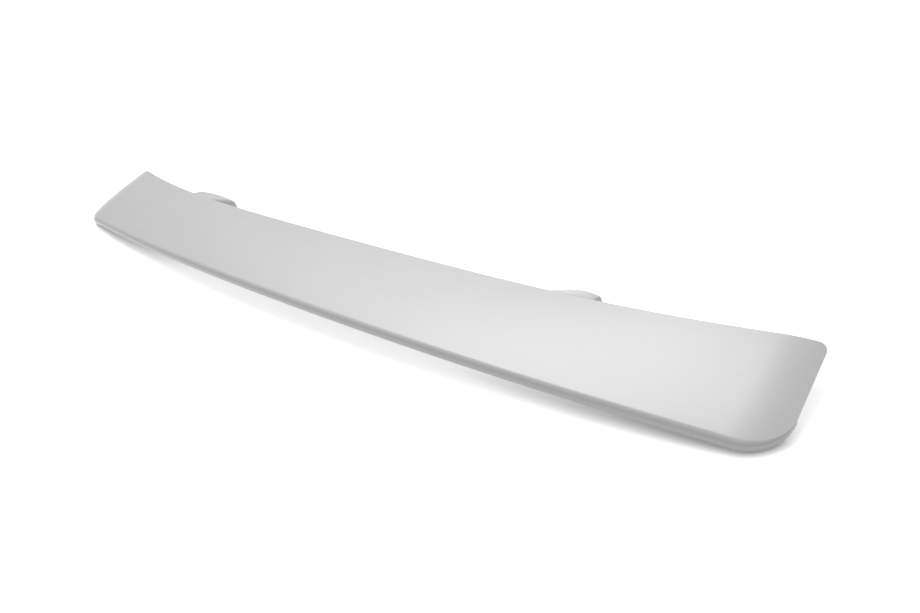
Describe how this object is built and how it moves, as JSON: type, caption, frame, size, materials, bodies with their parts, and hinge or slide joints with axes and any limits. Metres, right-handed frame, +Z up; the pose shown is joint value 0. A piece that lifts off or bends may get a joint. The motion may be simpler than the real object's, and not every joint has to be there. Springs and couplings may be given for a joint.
{
  "type": "roof spoiler",
  "caption": "Long thin bowed roof spoiler panel with a rolled trailing nose, drooped rounded ends and hollow bonding feet under its leading edge",
  "frame": {"origin": "on the ground, under the middle of the part's bounding box", "axes": "+X across the car to the right-hand end, +Y forward towards the windscreen, +Z up"},
  "size_m": [1.2, 0.167, 0.0482],
  "materials": {
    "primed_plastic": "light grey sanded primer, ready for paint"
  },
  "bodies": {
    "root": {"spoiler": "primed_plastic"}
  },
  "joints": []
}
